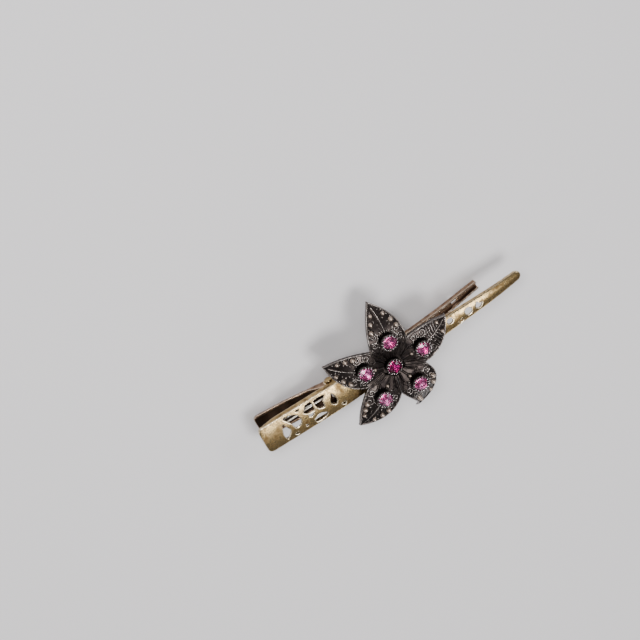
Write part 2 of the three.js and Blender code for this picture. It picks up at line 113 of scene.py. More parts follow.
wire_radius = 0.4
coil_turns = 3
coil_pitch = 0.94
leg_length = 24
leg_clearance = 0.15

jaw_setback = 16.4
lower_tail_width = 12.4
lower_tail_setback = 3.4
lower_tail_length = 18
jaw_width = 3.9
jaw_wall = 1.8
tab_wall = 0.6
tab_angle = 16.4
tab_turn_down = 0.4
bite_start = 80
slot_from_jaw_tip = 12.4
slot_length = 2.8
slot_width = 1.8
rest_opening = 7.8
bend_half = 5

flower_from_tail = 63.0
petal_count = 5
flower_turn = 7
petal_root = 4.4
petal_width = 17
petal_taper = 2.6
petal_thickness = 0.9
cupping = 0.6
petal_root_lift = 1.5
petal_crest_lift = 3.7
stone_ring_radius = 14.2
vein_height = 0.3
base_radius = 7
base_thickness = 0.9
shank_radius = 1.2
mount_head_radius = 2.3
mount_head_height = 0.7
mount_edge = 0.1

stone_radius = 3.0
stone_crown = 1.1
stone_pavilion = 1.3
table_radius = 1.7
cup_wall = 0.45
cup_floor = 0.4
ring_cup_height = 2.1
centre_cup_height = 1.9
prongs = 16
prong_wire = 0.19
prong_tip = 0.25
bead_radius = 1.02
# Depth of the painted shade on the upper side of the thumb tab and in the middle of the flower.
tab_painted_shade = 0.07
hub_painted_shade = 0.035

# Each petal's reach, droop, sweep and cross bars, and how far out its beads stand on each side.
petals = [
    dict(name="petal_jaw_side", reach=30.3, droop=2.7, sweep=6, bars=5,
         left=[25.4], right=[25.0]),
    dict(name="petal_front", reach=30.4, droop=8.4, sweep=4, bars=0,
         left=[19.8, 22.9, 25.8], right=[19.0, 22.0, 25.0]),
    dict(name="petal_tail_front", reach=30.7, droop=5.8, sweep=-3, bars=0,
         left=[19.4, 22.4, 25.4], right=[19.4, 22.4, 25.4]),
    dict(name="petal_tail_back", reach=31.2, droop=5.2, sweep=-5, bars=0,
         left=[20.0, 23.0, 26.0], right=[19.0, 22.0, 25.0]),
    dict(name="petal_back", reach=30.0, droop=9.2, sweep=-22, bars=2,
         left=[19.0, 21.8, 24.6], right=[22.0, 25.0]),
]

# Raised work on the petals.
rim_wire = 0.36
rib_rows = ((0.76, 12.0, 0.26), (0.5, 9.6, 0.22))    # share across, reach, wire radius
rib_lift = 0.16
vein_wire = 0.26
vein_lift = 0.12
vein_end_margin = 2.2
scroll_wire = 0.21
scroll_lift = 0.1
arc_wire = 0.18
arc_lift = 0.08
arc_start = 9.6
arc_end = 15.6
arc_aside = 4.4
arc_wave = 0.4
bar_wire = 0.24
first_bar = 19.2
bar_spacing = 1.25
bar_lean = 1.3
bar_margin = 0.9
bead_margin = 0.95
root_bead_place = 9.0
root_bead_radius = 0.75
rim_grain = 0.27
ring_grain = 0.26
ring_grains = 14

# Each scroll: its place out and aside, its size, its first angle, its turns and its winding.
petal_curls = [
    (17.7, 5.1, 1.9, -2.6, 1.35, 1),
    (13.6, 5.9, 1.7, 0.6, 1.3, -1),
    (10.2, 3.6, 1.1, 2.2, 1.1, 1),
]

# Size of the surface cells that each kind of piece is skinned with.
arm_cell = 0.17
petal_cell = 0.14
cup_cell = 0.1


# ---- shells: a shell is a list of points and a list of faces -------------------------------------
def loft(rings):
    """A closed skin through rings of points that all have the same count."""
    count = len(rings[0])
    points = [point for ring in rings for point in ring]
    faces = []
    for ring in range(len(rings) - 1):
        for step in range(count):
            here = ring * count + step
            beside = ring * count + (step + 1) % count
            faces.append((here, beside, beside + count, here + count))
    faces.append(tuple(range(count))[::-1])
    faces.append(tuple(range((len(rings) - 1) * count, len(rings) * count)))
    return points, faces


def join(*shells):
    points, faces = [], []
    for shell_points, shell_faces in shells:
        start = len(points)
        points += shell_points
        faces += [tuple(start + i for i in face) for face in shell_faces]
    return points, faces


def moved(shell, matrix):
    return [matrix @ Vector(point) for point in shell[0]], shell[1]


def lathe(profile, sides=48):
    """Turns a profile of (radius, height) about Z. It starts and ends on the axis, or closes."""
    hollow = profile[0] == profile[-1]
    rows = profile[:-1] if hollow else profile
    points, faces, row_points = [], [], []
    for radius, height in rows:
        turns = 1 if radius < 1e-6 else sides
        row_points.append([len(points) + i for i in range(turns)])
        for i in range(turns):
            angle = 2 * math.pi * i / sides
            points.append(Vector((radius * math.cos(angle), radius * math.sin(angle), height)))
    pairs = list(zip(row_points, row_points[1:]))
    if hollow:
        pairs.append((row_points[-1], row_points[0]))
    for low, high in pairs:
        for i in range(sides):
            j = (i + 1) % sides
            corners = [low[i % len(low)], low[j % len(low)], high[j % len(high)], high[i % len(high)]]
            faces.append(tuple(dict.fromkeys(corners)))
    return points, faces


def tube(path, radius, sides=10, taper=1.0):
    """A round wire along a path of points with rounded ends; its radius goes to taper times itself."""
    path = [Vector(point) for point in path]
    tangents = [(b - a).normalized() for a, b in zip(path, path[1:])]
    tangents = [tangents[0]] + [(a + b).normalized() for a, b in zip(tangents, tangents[1:])] + [tangents[-1]]
    side = tangents[0].orthogonal().normalized()
    rings = []
    last = len(path) - 1
    for i, (point, tangent) in enumerate(zip(path, tangents)):
        side = (side - tangent * side.dot(tangent)).normalized()
        other = tangent.cross(side)
        wide = radius * (1 + (taper - 1) * i / last)
        ends = {0: [(-0.9, 0.35), (-0.6, 0.8)], last: [(0.6, 0.8), (0.9, 0.35)]}.get(i, [])
        rows = [(0, 1.0)] if i not in (0, last) else sorted(ends + [(0, 1.0)])
        for along, share in rows:
            middle = point + tangent * along * wide
            turns = [2 * math.pi * k / sides for k in range(sides)]
            rings.append([middle + (side * math.cos(a) + other * math.sin(a)) * wide * share for a in turns])
    return loft(rings)


def ball(middle, radius, rows=10):
    heights = [math.pi * i / rows - math.pi / 2 for i in range(rows + 1)]
    profile = [(radius * math.cos(a), radius * math.sin(a)) for a in heights]
    profile[0] = (0, -radius)
    profile[-1] = (0, radius)
    return moved(lathe(profile, 2 * rows), Matrix.Translation(middle))


def prism(outline, low, high):
    return loft([[Vector((x, y, z)) for x, y in outline] for z in (low, high)])


def smoothstep(x, low, high):
    share = min(1, max(0, (x - low) / (high - low)))
    return share * share * (3 - 2 * share)


def mix(a, b, share):
    return a + (b - a) * share


def between(x, stops):
    return float(np.interp(x, [at for at, _ in stops], [value for _, value in stops]))


def steps(low, high, spacing):
    return list(np.linspace(low, high, max(2, round((high - low) / spacing) + 1)))


# ---- from shells to pieces -----------------------------------------------------------------------
def new_object(name, shell):
    mesh = bpy.data.meshes.new(name)
    mesh.from_pydata(shell[0], [], shell[1])
    made = bmesh.new()
    made.from_mesh(mesh)
    bmesh.ops.recalc_face_normals(made, faces=made.faces)
    made.to_mesh(mesh)
    made.free()
    obj = bpy.data.objects.new(name, mesh)
    scene.collection.objects.link(obj)
    return obj


def settle(obj):
    """Applies the object's modifiers to its mesh."""
    graph = bpy.context.evaluated_depsgraph_get()
    mesh = bpy.data.meshes.new_from_object(obj.evaluated_get(graph))
    obj.modifiers.clear()
    obj.data = mesh


def cut(obj, shell):
    cutter = new_object("cutter", shell)
    boolean = obj.modifiers.new("cut", "BOOLEAN")
    boolean.operation = "DIFFERENCE"
    boolean.solver = "EXACT"
    boolean.object = cutter
    settle(obj)
    bpy.data.objects.remove(cutter)


def recast(obj, cell, softenings):
    """Makes one even skin round everything in the mesh, with its edges softened by wear."""
    remesh = obj.modifiers.new("skin", "REMESH")
    remesh.mode = "VOXEL"
    remesh.voxel_size = cell
    smooth = obj.modifiers.new("soften", "SMOOTH")
    smooth.factor = 0.5
    smooth.iterations = softenings
    settle(obj)


def add_attribute(obj, name, values):
    attribute = obj.data.attributes.new(name, "FLOAT", "POINT")
    attribute.data.foreach_set("value", np.asarray(values, np.float32))


def measure_wear(obj, spread, sheltered=None):
    """Stores how far each point stands out of the surface round it, as handling would rub it."""
    mesh = obj.data
    count = len(mesh.vertices)
    places = np.empty(count * 3, np.float32)
    mesh.vertices.foreach_get("co", places)
    places = places.reshape(-1, 3).astype(float)
    normals = np.empty(count * 3, np.float32)
    mesh.vertices.foreach_get("normal", normals)
    normals = normals.reshape(-1, 3).astype(float)
    ends = np.empty(len(mesh.edges) * 2, np.int32)
    mesh.edges.foreach_get("vertices", ends)
    one, other = ends.reshape(-1, 2).T
    neighbours = np.maximum(np.bincount(one, minlength=count) + np.bincount(other, minlength=count), 1)
    soft = places
    for _ in range(spread):
        total = np.zeros_like(soft)
        for axis in range(3):
            total[:, axis] += np.bincount(one, soft[other, axis], count)
            total[:, axis] += np.bincount(other, soft[one, axis], count)
        soft = 0.5 * soft + 0.5 * total / neighbours[:, None]
    proud = ((places - soft) * normals).sum(1)
    if sheltered:
        proud = np.where(proud > 0, proud * [sheltered(vertex.co) for vertex in mesh.vertices], proud)
    add_attribute(obj, "wear_and_shade", proud)


def add_painted_shade(obj, amount):
    """Paints shade: lowers the wear attribute, which darkens the colour towards the dirt colour, by an amount
    that depends on the place and normal.
    """
    attribute = obj.data.attributes["wear_and_shade"]
    for vertex, entry in zip(obj.data.vertices, attribute.data):
        entry.value -= amount(vertex.co, vertex.normal)


def finish_piece(obj, place, body, material, nodes=(), smooth=True):
    obj.data.transform(place)
    obj.data.update()
    if smooth:
        obj.data.shade_smooth()
    obj.data.materials.clear()
    for each in material if isinstance(material, (list, tuple)) else [material]:
        obj.data.materials.append(each)
    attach(obj, body)
    if nodes:
        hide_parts(*nodes)
    return obj


# ---- the line of the upper arm -------------------------------------------------------------------
def face_height(x):
    across = 2 * x / arm_length - 1
    droop = max(0, (x - arm_length + tip_droop_length) / tip_droop_length)
    return bow * (1 - across * across) - tip_droop * droop * droop


def upper_width(x):
    return between(x, [
        (0, tail_width),
        (hinge_from_tail, hinge_width),
        (arm_length - neck_from_tip, neck_width),
        (arm_length - beak_from_tip, beak_width),
        (arm_length, tip_width),
    ])


def flank_height(x):
    faded = sheet + crown + seat_gap
    full = between(x, [
        (hinge_from_tail, flank_at_tail),
        (arm_length - tip_width / 2, flank_at_tip),
        (arm_length, flank_at_tip - tip_lift),
    ])
    return mix(faded, full, smoothstep(x, 0, tail_fade))


def upper_half(x):
    tip = tip_width / 2
    into_corner = max(0, tail_corner - x)
    into_tip = min(tip, max(0, x - arm_length + tip))
    corner = tail_corner - math.sqrt(tail_corner ** 2 - into_corner ** 2)
    rounding = tip - math.sqrt(max(0, tip ** 2 - into_tip ** 2))
    return upper_width(x) / 2 - corner - rounding


def arch_ring(x, half, inset, rim_z, turns=4, columns=12):
    """Section of the upper arm: a crowned face, a round fold on each side, and two flanks."""
    side = half - inset
    top = face_height(x) - inset
    edge = max(side - fold_radius, side * 0.6)
    fold = side - edge
    shoulder = top - crown * (edge / half) ** 2
    right = [(side, rim_z)]
    for turn in range(turns):
        angle = math.pi / 2 * turn / turns
        right.append((edge + fold * math.cos(angle), shoulder - fold + fold * math.sin(angle)))
    face = []
    for column in range(columns + 1):
        y = edge * (1 - 2 * column / columns)
        face.append((y, top - crown * (y / half) ** 2))
    left = [(-y, z) for y, z in reversed(right)]
    return [Vector((x, y, z)) for y, z in right + face + left]


def arch_skin():
    tip = tip_width / 2
    corner = [tail_corner * (1 - math.cos(a)) for a in np.linspace(0, math.pi / 2, 7)]
    straight = steps(tail_corner, arm_length - tip, 1.0)[1:]
    rounding = [arm_length - tip + tip * math.sin(a) for a in np.linspace(0, 1.4, 9)][1:]
    along = corner + straight + rounding
    return loft([arch_ring(x, upper_half(x), 0, face_height(x) - flank_height(x)) for x in along])


def arch_hollow():
    tip = tip_width / 2
    deep = -3 * bow
    along = [-1.0] + steps(tail_corner, arm_length - tip, 1.0)
    rings = [arch_ring(x, upper_width(max(x, 0)) / 2, sheet, deep) for x in along]
    for share in (0.3, 0.55, 0.75, 0.88):
        half = sheet + (tip - sheet) * math.sqrt(1 - share * share)
        rings.append(arch_ring(arm_length - tip + share * (tip - sheet), half, sheet, deep))
    return loft(rings)


# ---- pierced openings, as x along the arm and y across it ----------------------------------------
def opening(points, tension=0.5, fineness=8):
    """A closed smooth outline through the points; a higher tension makes it rounder."""
    corners = [Vector(point) for point in points]
    count = len(corners)
    outline = []
    for i in range(count):
        before, here, after, beyond = (corners[(i + k) % count] for k in (-1, 0, 1, 2))
        leaving = (after - before) * tension
        arriving = (beyond - here) * tension
        for step in range(fineness):
            t = step / fineness
            outline.append(
                here * (2 * t ** 3 - 3 * t ** 2 + 1)
                + leaving * (t ** 3 - 2 * t ** 2 + t)
                + after * (3 * t ** 2 - 2 * t ** 3)
                + arriving * (t ** 3 - t ** 2)
            )
    return outline


def round_opening(x, y, radius):
    turns = np.linspace(0, 2 * math.pi, 24, endpoint=False)
    return [(x + radius * math.cos(a), y + radius * math.sin(a)) for a in turns]


def openings():
    return [
        opening([(10.4, 3.2), (11.5, 0.5), (12.3, -1.9), (9.6, -4.9), (8.9, -2.0)], 0.3),
        opening([(11.6, 5.3), (14.6, 5.2), (17.4, 3.6), (18.4, 1.0), (17.4, -1.6), (14.9, -2.0),
                 (13.8, 1.4)], 0.4),
        opening([(17.5, 5.6), (19.8, 5.6), (18.7, 4.7)], 0.2),
        opening([(12.9, -4.8), (15.0, -4.2), (14.8, -5.6)], 0.2),
        round_opening(19.4, -4.0, 0.5),
        opening([(20.6, 2.6), (22.6, 5.2), (25.2, 5.4), (25.2, 1.0), (22.0, 1.2)], 0.3),
        opening([(21.6, 0.0), (24.6, 0.1), (23.0, -1.3)], 0.3),
        opening([(26.7, 5.2), (31.6, 4.9), (29.9, 2.4), (29.6, -0.4), (26.8, 0.8)], 0.3),
        opening([(23.2, -3.9), (25.8, -2.2), (28.0, -2.6), (29.6, -4.3), (26.6, -5.4), (24.0, -5.2)], 0.5),
        opening([(34.6, 3.5), (35.7, -0.4), (34.4, -2.4), (32.8, -0.6)], 0.5),
        opening([(36.4, -3.9), (38.6, -3.6), (37.9, -5.2)], 0.3),
        round_opening(flower_from_tail, 0, shank_radius + seat_gap),
        round_opening(93.4, 1.2, 1.35),
        opening([(96.4, -1.9), (98.6, -1.2), (98.9, -2.5), (97.0, -2.7)], 0.4),
        opening([(100.8, 0.9), (102.4, 2.0), (104.1, 0.8), (103.6, -1.3), (101.4, -1.4)], 0.4),
        opening([(106.0, -0.6), (107.2, 1.7), (108.2, 0.4), (109.6, 0.1), (107.8, -1.9)], 0.3),
    ]


pin_x = hinge_from_tail
pin_z = face_height(pin_x) - hinge_drop
upper_ear_y = hinge_width / 2
lower_ear_y = upper_ear_y - sheet - side_gap
turned_to_y = Matrix.Rotation(-math.pi / 2, 4, "X")


def ears(outer_y):
    """Two drilled discs round the pin, one in the plane of each side wall."""
    hole = pin_radius + pin_clearance
    washer = lathe([(hole, 0), (ear_radius, 0), (ear_radius, sheet), (hole, sheet), (hole, 0)])
    at_pin = Matrix.Translation((pin_x, 0, pin_z)) @ turned_to_y
    near = moved(washer, at_pin @ Matrix.Translation((0, 0, outer_y - sheet)))
    far = moved(washer, at_pin @ Matrix.Translation((0, 0, -outer_y)))
    return join(near, far)


def add_shell(obj, shell):
    points = [vertex.co.copy() for vertex in obj.data.vertices]
    faces = [tuple(face.vertices) for face in obj.data.polygons]
    mesh = bpy.data.meshes.new(obj.name)
    joined = join((points, faces), shell)
    mesh.from_pydata(joined[0], [], joined[1])
    obj.data = mesh


def upper_arm():
    arm = new_object("upper_arm_brass", arch_skin())
    cut(arm, arch_hollow())
    cut(arm, join(*[prism(outline, -tail_width, tail_width) for outline in openings()]))
    add_shell(arm, ears(upper_ear_y))
    recast(arm, arm_cell, softenings=5)
    measure_wear(arm, spread=12)
    return arm


# ---- lower arm, drawn with the jaws shut ---------------------------------------------------------
jaw_tip = arm_length - jaw_setback
web_under_pin = wire_radius * 3 + pin_radius + seat_gap + seat_gap


def web_height(x):
    level = pin_z - web_under_pin
    into_end = max(0, tail_corner + lower_tail_setback - x) / tail_corner
    turn_down = tab_turn_down * min(1, into_end) ** 2
    tab = level - math.tan(math.radians(tab_angle)) * (pin_x - x) - turn_down
    follow = face_height(max(x, bite_start)) - sheet - crown - seat_gap - jaw_wall
    jaw = mix(level, follow, smoothstep(x, pin_x + bend_half, bite_start))
    return mix(tab, jaw, smoothstep(x, pin_x - bend_half, pin_x))


def lower_rim_height(x):
    if x < pin_x:
        return mix(web_height(x) + tab_wall, pin_z, smoothstep(x, pin_x - 2 * bend_half, pin_x - 1))
    return mix(pin_z, web_height(x) + jaw_wall, smoothstep(x, pin_x + 1, bite_start))


def lower_half(x):
    into_corner = max(0, tail_corner - (x - lower_tail_setback))
    corner = tail_corner - math.sqrt(tail_corner ** 2 - into_corner ** 2)
    before_hinge = pin_x - ear_radius - bend_half
    full = between(x, [
        (0, lower_tail_width),
        (min(lower_tail_length, before_hinge - 1), lower_tail_width),
        (before_hinge, 2 * lower_ear_y),
        (pin_x + ear_radius, 2 * lower_ear_y),
        (arm_length - neck_from_tip, min(neck_width - 2 * (sheet + side_gap), jaw_width + 1)),
        (jaw_tip, jaw_width),
    ])
    return full / 2 - corner


def trough_ring(x, half, floor, rim, turns=4):
    bend = min(0.6, half / 3)
    right = [(half, rim)]
    for turn in range(turns + 1):
        angle = math.pi / 2 * turn / turns
        right.append((half - bend + bend * math.cos(angle), floor + bend - bend * math.sin(angle)))
    left = [(-y, z) for y, z in reversed(right)]
    return [Vector((x, y, z)) for y, z in right + left]


def lower_arm():
    start = lower_tail_setback
    straight = start + tail_corner
    corner = [start + tail_corner * (1 - math.cos(a)) for a in np.linspace(0, math.pi / 2, 7)][:-1]
    along = corner + steps(straight, jaw_tip, 1.0)
    arm = new_object("lower_arm_brass", loft([
        trough_ring(x, lower_half(x), web_height(x) - sheet, lower_rim_height(x)) for x in along
    ]))
    hollow = []
    for x in [-1.0] + steps(straight, jaw_tip, 1.0) + [jaw_tip + 1]:
        at = min(max(x, straight), jaw_tip)
        hollow.append(trough_ring(x, lower_half(at) - sheet, web_height(x), pin_z + tail_width))
    cut(arm, loft(hollow))
    slot_x = jaw_tip - slot_from_jaw_tip
    long, wide = slot_length / 2, slot_width / 2
    slot = [(slot_x - long, -wide), (slot_x + long, -wide), (slot_x + long, wide), (slot_x - long, wide)]
    hole = pin_radius + pin_clearance
    bore = lathe([(0, -tail_width), (hole, -tail_width), (hole, tail_width), (0, tail_width)])
    bore = moved(bore, Matrix.Translation((pin_x, 0, pin_z)) @ turned_to_y)
    cut(arm, join(prism(slot, -tail_width, tail_width), bore))
    add_shell(arm, ears(lower_ear_y))
    recast(arm, arm_cell, softenings=5)
    measure_wear(arm, spread=12)
    add_painted_shade(arm, painted_shade_in_tab)
    return arm


def painted_shade_in_tab(place, normal):
    """Painted shade on the upper side of the thumb tab, which lies under the upper arm and which nothing
    rubs.
    """
    along = 1 - smoothstep(place.x, pin_x, pin_x + 2 * bend_half)
    return tab_painted_shade * along * smoothstep(normal.z, 0.2, 0.8)


# ---- hinge pin and spring ------------------------------------------------------------------------
def hinge_pin():
    face = upper_ear_y + seat_gap
    dome = []
    for turn in np.linspace(0, math.pi / 2, 9):
        radius = rivet_head_radius * math.cos(turn) ** 0.8
        dome.append((radius, face + rivet_edge + (rivet_head_height - rivet_edge) * math.sin(turn)))
    dome[-1] = (0, face + rivet_head_height)
    half = [(pin_radius, face), (rivet_head_radius * 0.94, face)] + dome
    profile = [(radius, -height) for radius, height in reversed(half)] + half
    pin = new_object("hinge_pin_brass", moved(lathe(profile), turned_to_y))
    add_attribute(pin, "wear_and_shade", [0.02 if abs(v.co.y) > face + 0.2 else 0 for v in pin.data.vertices])
    return pin


def spring_path():
    """Along the lower leg, round the coil and back along the upper leg, about the pin's middle."""
    radius = pin_radius + seat_gap + wire_radius
    sweep = math.pi * (2 * coil_turns + 1)
    rise = coil_pitch * (coil_turns + 0.5)
    opening_turn = Matrix.Rotation(math.radians(rest_opening), 2)
    rests_at = web_height(pin_x - leg_length) - pin_z + seat_gap + leg_clearance + wire_radius
    lower = opening_turn.inverted() @ Vector((-leg_length, rests_at))
    upper = min(radius, face_height(pin_x - leg_length) - sheet - crown - seat_gap - wire_radius - pin_z)
    lower_end = Vector((-leg_length, -rise / 2, lower.y))
    upper_end = Vector((-leg_length, rise / 2, upper))
    coil = []
    for share in np.linspace(0, 1, 170):
        angle = share * sweep - math.pi / 2
        coil.append(Vector((radius * math.cos(angle), (share - 0.5) * rise, radius * math.sin(angle))))
    leg = np.linspace(0, 1, 14)
    lower_leg = [lower_end.lerp(coil[0], share) for share in leg[:-1]]
    upper_leg = [coil[-1].lerp(upper_end, share) for share in leg[1:]]
    return lower_leg + coil + upper_leg, rise


# ---- flower, drawn about its own middle with the outside of the arm at z = 0 ---------------------
def petal_half(radius, reach):
    turn = math.pi / petal_count
    wedge = radius * math.tan(turn) - seat_gap / 2 / math.cos(turn)
    widest = petal_width / 2 / math.tan(turn)
    share = min(1, max(0, (radius - widest) / (reach - widest)))
    return max(0.25, min(wedge, petal_width / 2 * (1 - share ** petal_taper) - seat_gap / 2))


def outwards(radius, bend):
    return max(0, (radius - stone_ring_radius) / (bend["reach"] - stone_ring_radius))


def petal_top(radius, bend):
    root = petal_root_lift + petal_thickness
    if radius < stone_ring_radius:
        share = (radius - petal_root) / (stone_ring_radius - petal_root)
        return mix(root, petal_crest_lift, math.sin(share * math.pi / 2))
    return petal_crest_lift - bend["droop"] * outwards(radius, bend) ** 2


def on_petal(bend, radius, y, lift=0.0):
    """The point of a petal's upper side at that radius and place across it, swept with the petal."""
    z = petal_top(radius, bend) - cupping * (y / (petal_width / 2)) ** 2 + lift
    sweep = math.radians(bend["sweep"]) * outwards(radius, bend) ** 2
    return Matrix.Rotation(sweep, 3, "Z") @ Vector((radius, y, z))


def petal_plate(bend):
    rings = []
    shares = np.linspace(1, -1, 15)
    for radius in steps(petal_root, bend["reach"], 0.6):
        half = petal_half(radius, bend["reach"])
        top = [on_petal(bend, radius, half * share) for share in shares]
        under = [on_petal(bend, radius, half * share, -petal_thickness) for share in reversed(shares)]
        rings.append(top + under)
    return loft(rings)


def petal_rim(bend):
    """One wire out along an edge of the petal, round its tip and back along the other edge."""
    out = steps(petal_root, bend["reach"] - rim_wire, 0.7)
    sides = []
    for side in (1, -1):
        row = []
        for radius in out:
            half = max(0, petal_half(radius, bend["reach"]) - rim_wire * 0.8)
            row.append(on_petal(bend, radius, side * half, rim_wire * 0.45))
        sides.append(row)
    return tube(sides[0] + sides[1][::-1], rim_wire, 12)


def petal_ribs(bend):
    """Ridges that gather the edges of the petal into the middle of the flower."""
    ribs = []
    for side in (1, -1):
        for share, reach, wide in rib_rows:
            path = []
            for radius in steps(petal_root + 0.2, reach, 0.6):
                half = petal_half(radius, bend["reach"])
                flare = share + 0.1 * smoothstep(radius, petal_root, reach)
                path.append(on_petal(bend, radius, side * half * flare, rib_lift))
            ribs.append(tube(path, wide, 8, 0.5))
    return ribs


def petal_vein(bend):
    """The midrib, in two lengths that stop short of the claw cup."""
    def midline(low, high):
        return [on_petal(bend, radius, 0, vein_lift) for radius in steps(low, high, 0.8)]

    cup = stone_radius + seat_gap + cup_wall
    inner = midline(petal_root + 0.2, stone_ring_radius - cup)
    outer = midline(stone_ring_radius + cup, bend["reach"] - vein_end_margin)
    return [tube(inner, vein_wire, 8, 0.8), tube(outer, vein_wire, 8, 0.6)]


def curl(bend, radius, y, size, start, turns, hand):
    """A scroll wire that winds in towards its own middle."""
    path = []
    for share in np.linspace(0, 1, 22):
        angle = start + hand * share * turns * 2 * math.pi
        away = size * (1 - 0.78 * share)
        across = y + away * math.sin(angle)
        path.append(on_petal(bend, radius + away * math.cos(angle), across, scroll_lift))
    return tube(path, scroll_wire, 8, 0.8)


def petal_scrolls(bend):
    scrolls = []
    for side in (1, -1):
        for out, aside, size, start, turns, winding in petal_curls:
            scrolls.append(curl(bend, out, side * aside, size, side * start, turns, side * winding))
        arc = []
        for radius in steps(arc_start, arc_end, 0.5):
            aside = arc_aside + arc_wave * math.sin(radius)
            arc.append(on_petal(bend, radius, side * aside, arc_lift))
        scrolls.append(tube(arc, arc_wire, 8))
    for bar in range(bend["bars"]):
        radius = first_bar + bar * bar_spacing
        half = petal_half(radius, bend["reach"]) - bar_margin
        for side in (1, -1):
            path = []
            for share in np.linspace(0, 1, 8):
                aside = side * mix(bar_margin, half, share)
                path.append(on_petal(bend, radius + bar_lean * share, aside, scroll_lift))
            scrolls.append(tube(path, bar_wire, 8, 0.7))
    return scrolls


def bead_places(bend):
    places = []
    for side, rows in ((1, bend["left"]), (-1, bend["right"])):
        for radius in rows:
            half = petal_half(radius, bend["reach"])
            aside = max(half - bead_margin - bead_radius, bead_margin)
            size = bead_radius * (1 - 0.25 * smoothstep(radius, 20, 27))
            places.append((on_petal(bend, radius, side * aside, size * 0.45), size))
    places.append((on_petal(bend, root_bead_place, 0, 0.35), root_bead_radius))
    return places


def granules(bend):
    """Fine grains that fill the ground between the beads and the rim."""
    grains = []
    for side in (1, -1):
        for radius in steps(18.2, bend["reach"] - 4.2, 1.5):
            half = petal_half(radius, bend["reach"])
            jitter = seed.uniform(-0.15, 0.15)
            at_rim = on_petal(bend, radius + jitter, side * max(half - 1.05, 0.2), 0.1)
            grains.append(ball(at_rim, rim_grain, 6))
            aside = seed.uniform(0.2, 0.55) * half
            inside = on_petal(bend, radius + 0.6 + jitter, side * aside, 0.06)
            grains.append(ball(inside, seed.uniform(0.18, 0.3), 6))
    for turn in range(ring_grains):
        angle = 2 * math.pi * (turn + 0.5) / ring_grains
        around = stone_radius + cup_wall + seat_gap + 0.65
        radius = stone_ring_radius + around * math.cos(angle)
        grains.append(ball(on_petal(bend, radius, around * math.sin(angle), 0.08), ring_grain, 6))
    return grains


def petal(bend):
    beads = bead_places(bend)
    shells = [petal_plate(bend), petal_rim(bend)]
    shells += petal_ribs(bend) + petal_vein(bend) + petal_scrolls(bend) + granules(bend)
    for middle, size in beads:
        shells.append(ball(middle, size))
        inner, outer = size * 0.8, size * 1.22
        collar = [(inner, -0.2), (outer, -0.2), (outer, 0), (inner, 0.12), (inner, -0.2)]
        shells.append(moved(lathe(collar, 24), Matrix.Translation(middle - Vector((0, 0, size * 0.3)))))
    piece = new_object(bend["name"] + "_bronze", join(*shells))
    recast(piece, petal_cell, softenings=2)
    measure_wear(piece, spread=8, sheltered=lambda place: mix(0.35, 1, smoothstep(place.x, 6.5, 12)))
    # Painted shade: the sunk middle of the flower, round the centre stone, is darkened towards the dirt
    # colour.
    add_painted_shade(piece, lambda place, normal: hub_painted_shade * (1 - smoothstep(place.x, 8, 13.5)))
    tree = KDTree(len(beads))
    for i, (middle, _) in enumerate(beads):
        tree.insert(middle, i)
    tree.balance()
    gilding = []
    for vertex in piece.data.vertices:
        _, i, distance = tree.find(vertex.co)
        gilding.append(1 - smoothstep(distance, beads[i][1] * 1.02, beads[i][1] * 1.2))
    add_attribute(piece, "gilding", gilding)
    return piece


def flower_base():
    hole = shank_radius + seat_gap
    profile = [(hole, 0), (base_radius - 0.3, 0), (base_radius, 0.15), (base_radius, 0.45),
               (base_radius - 0.2, 0.7), (base_radius - 0.6, base_thickness),
               (hole, base_thickness), (hole, 0)]
    base = new_object("flower_base_bronze", lathe(profile, 72))
    recast(base, petal_cell, softenings=2)
    measure_wear(base, spread=8)
    return base


def flower_rivet():
    top = -sheet - crown - seat_gap
    profile = [(0, top - mount_head_height)]
    for turn in np.linspace(0.5, math.pi / 2, 6):
        drop = mount_edge + (mount_head_height - mount_edge) * math.cos(turn)
        profile.append((mount_head_radius * math.sin(turn), top - drop))
    shank_top = seat_gap + base_thickness
    profile += [(mount_head_radius, top), (shank_radius, top), (shank_radius, shank_top), (0, shank_top)]
    rivet = new_object("flower_rivet_brass", lathe(profile, 40))
    recast(rivet, petal_cell, softenings=2)
    measure_wear(rivet, spread=8)
    return rivet


# ---- stones and their claw cups ------------------------------------------------------------------
def claw_cup(name, height):
    """A turned cup with a beaded foot, and fine prongs bent over the stone's edge."""
    inner = stone_radius + seat_gap
    outer = inner + cup_wall
    foot = [(0, 0), (outer * 0.78, 0), (outer * 0.86, 0.12), (outer * 0.88, 0.4)]
    girdle = [(outer * 0.93, height * 0.5), (outer * 0.97, height * 0.62), (outer * 0.93, height * 0.74)]
    mouth = [(outer - 0.05, height * 0.85), (outer - 0.08, height), (inner, height)]
    bowl = [(inner, height - seat_gap), (inner * 0.8, cup_floor), (0, cup_floor)]
    profile = foot + girdle + mouth + bowl
    shells = [lathe(profile, 64)]
    for prong in range(prongs):
        turn = Matrix.Rotation(2 * math.pi * (prong + 0.5) / prongs, 3, "Z")
        line = [(outer + 0.02, height * 0.45), (outer + 0.05, height * 0.85), (outer - 0.02, height + 0.22),
                (outer - 0.22, height + 0.5), (outer - 0.52, height + 0.62)]
        path = [turn @ Vector((radius, 0, z)) for radius, z in line]
        shells.append(tube(path, prong_wire, 8))
        shells.append(ball(path[-1], prong_tip, 6))
    cup = new_object(name, join(*shells))
    recast(cup, cup_cell, softenings=1)
    measure_wear(cup, spread=6, sheltered=lambda place: smoothstep(place.z, height - 0.1, height + 0.35))
    return cup


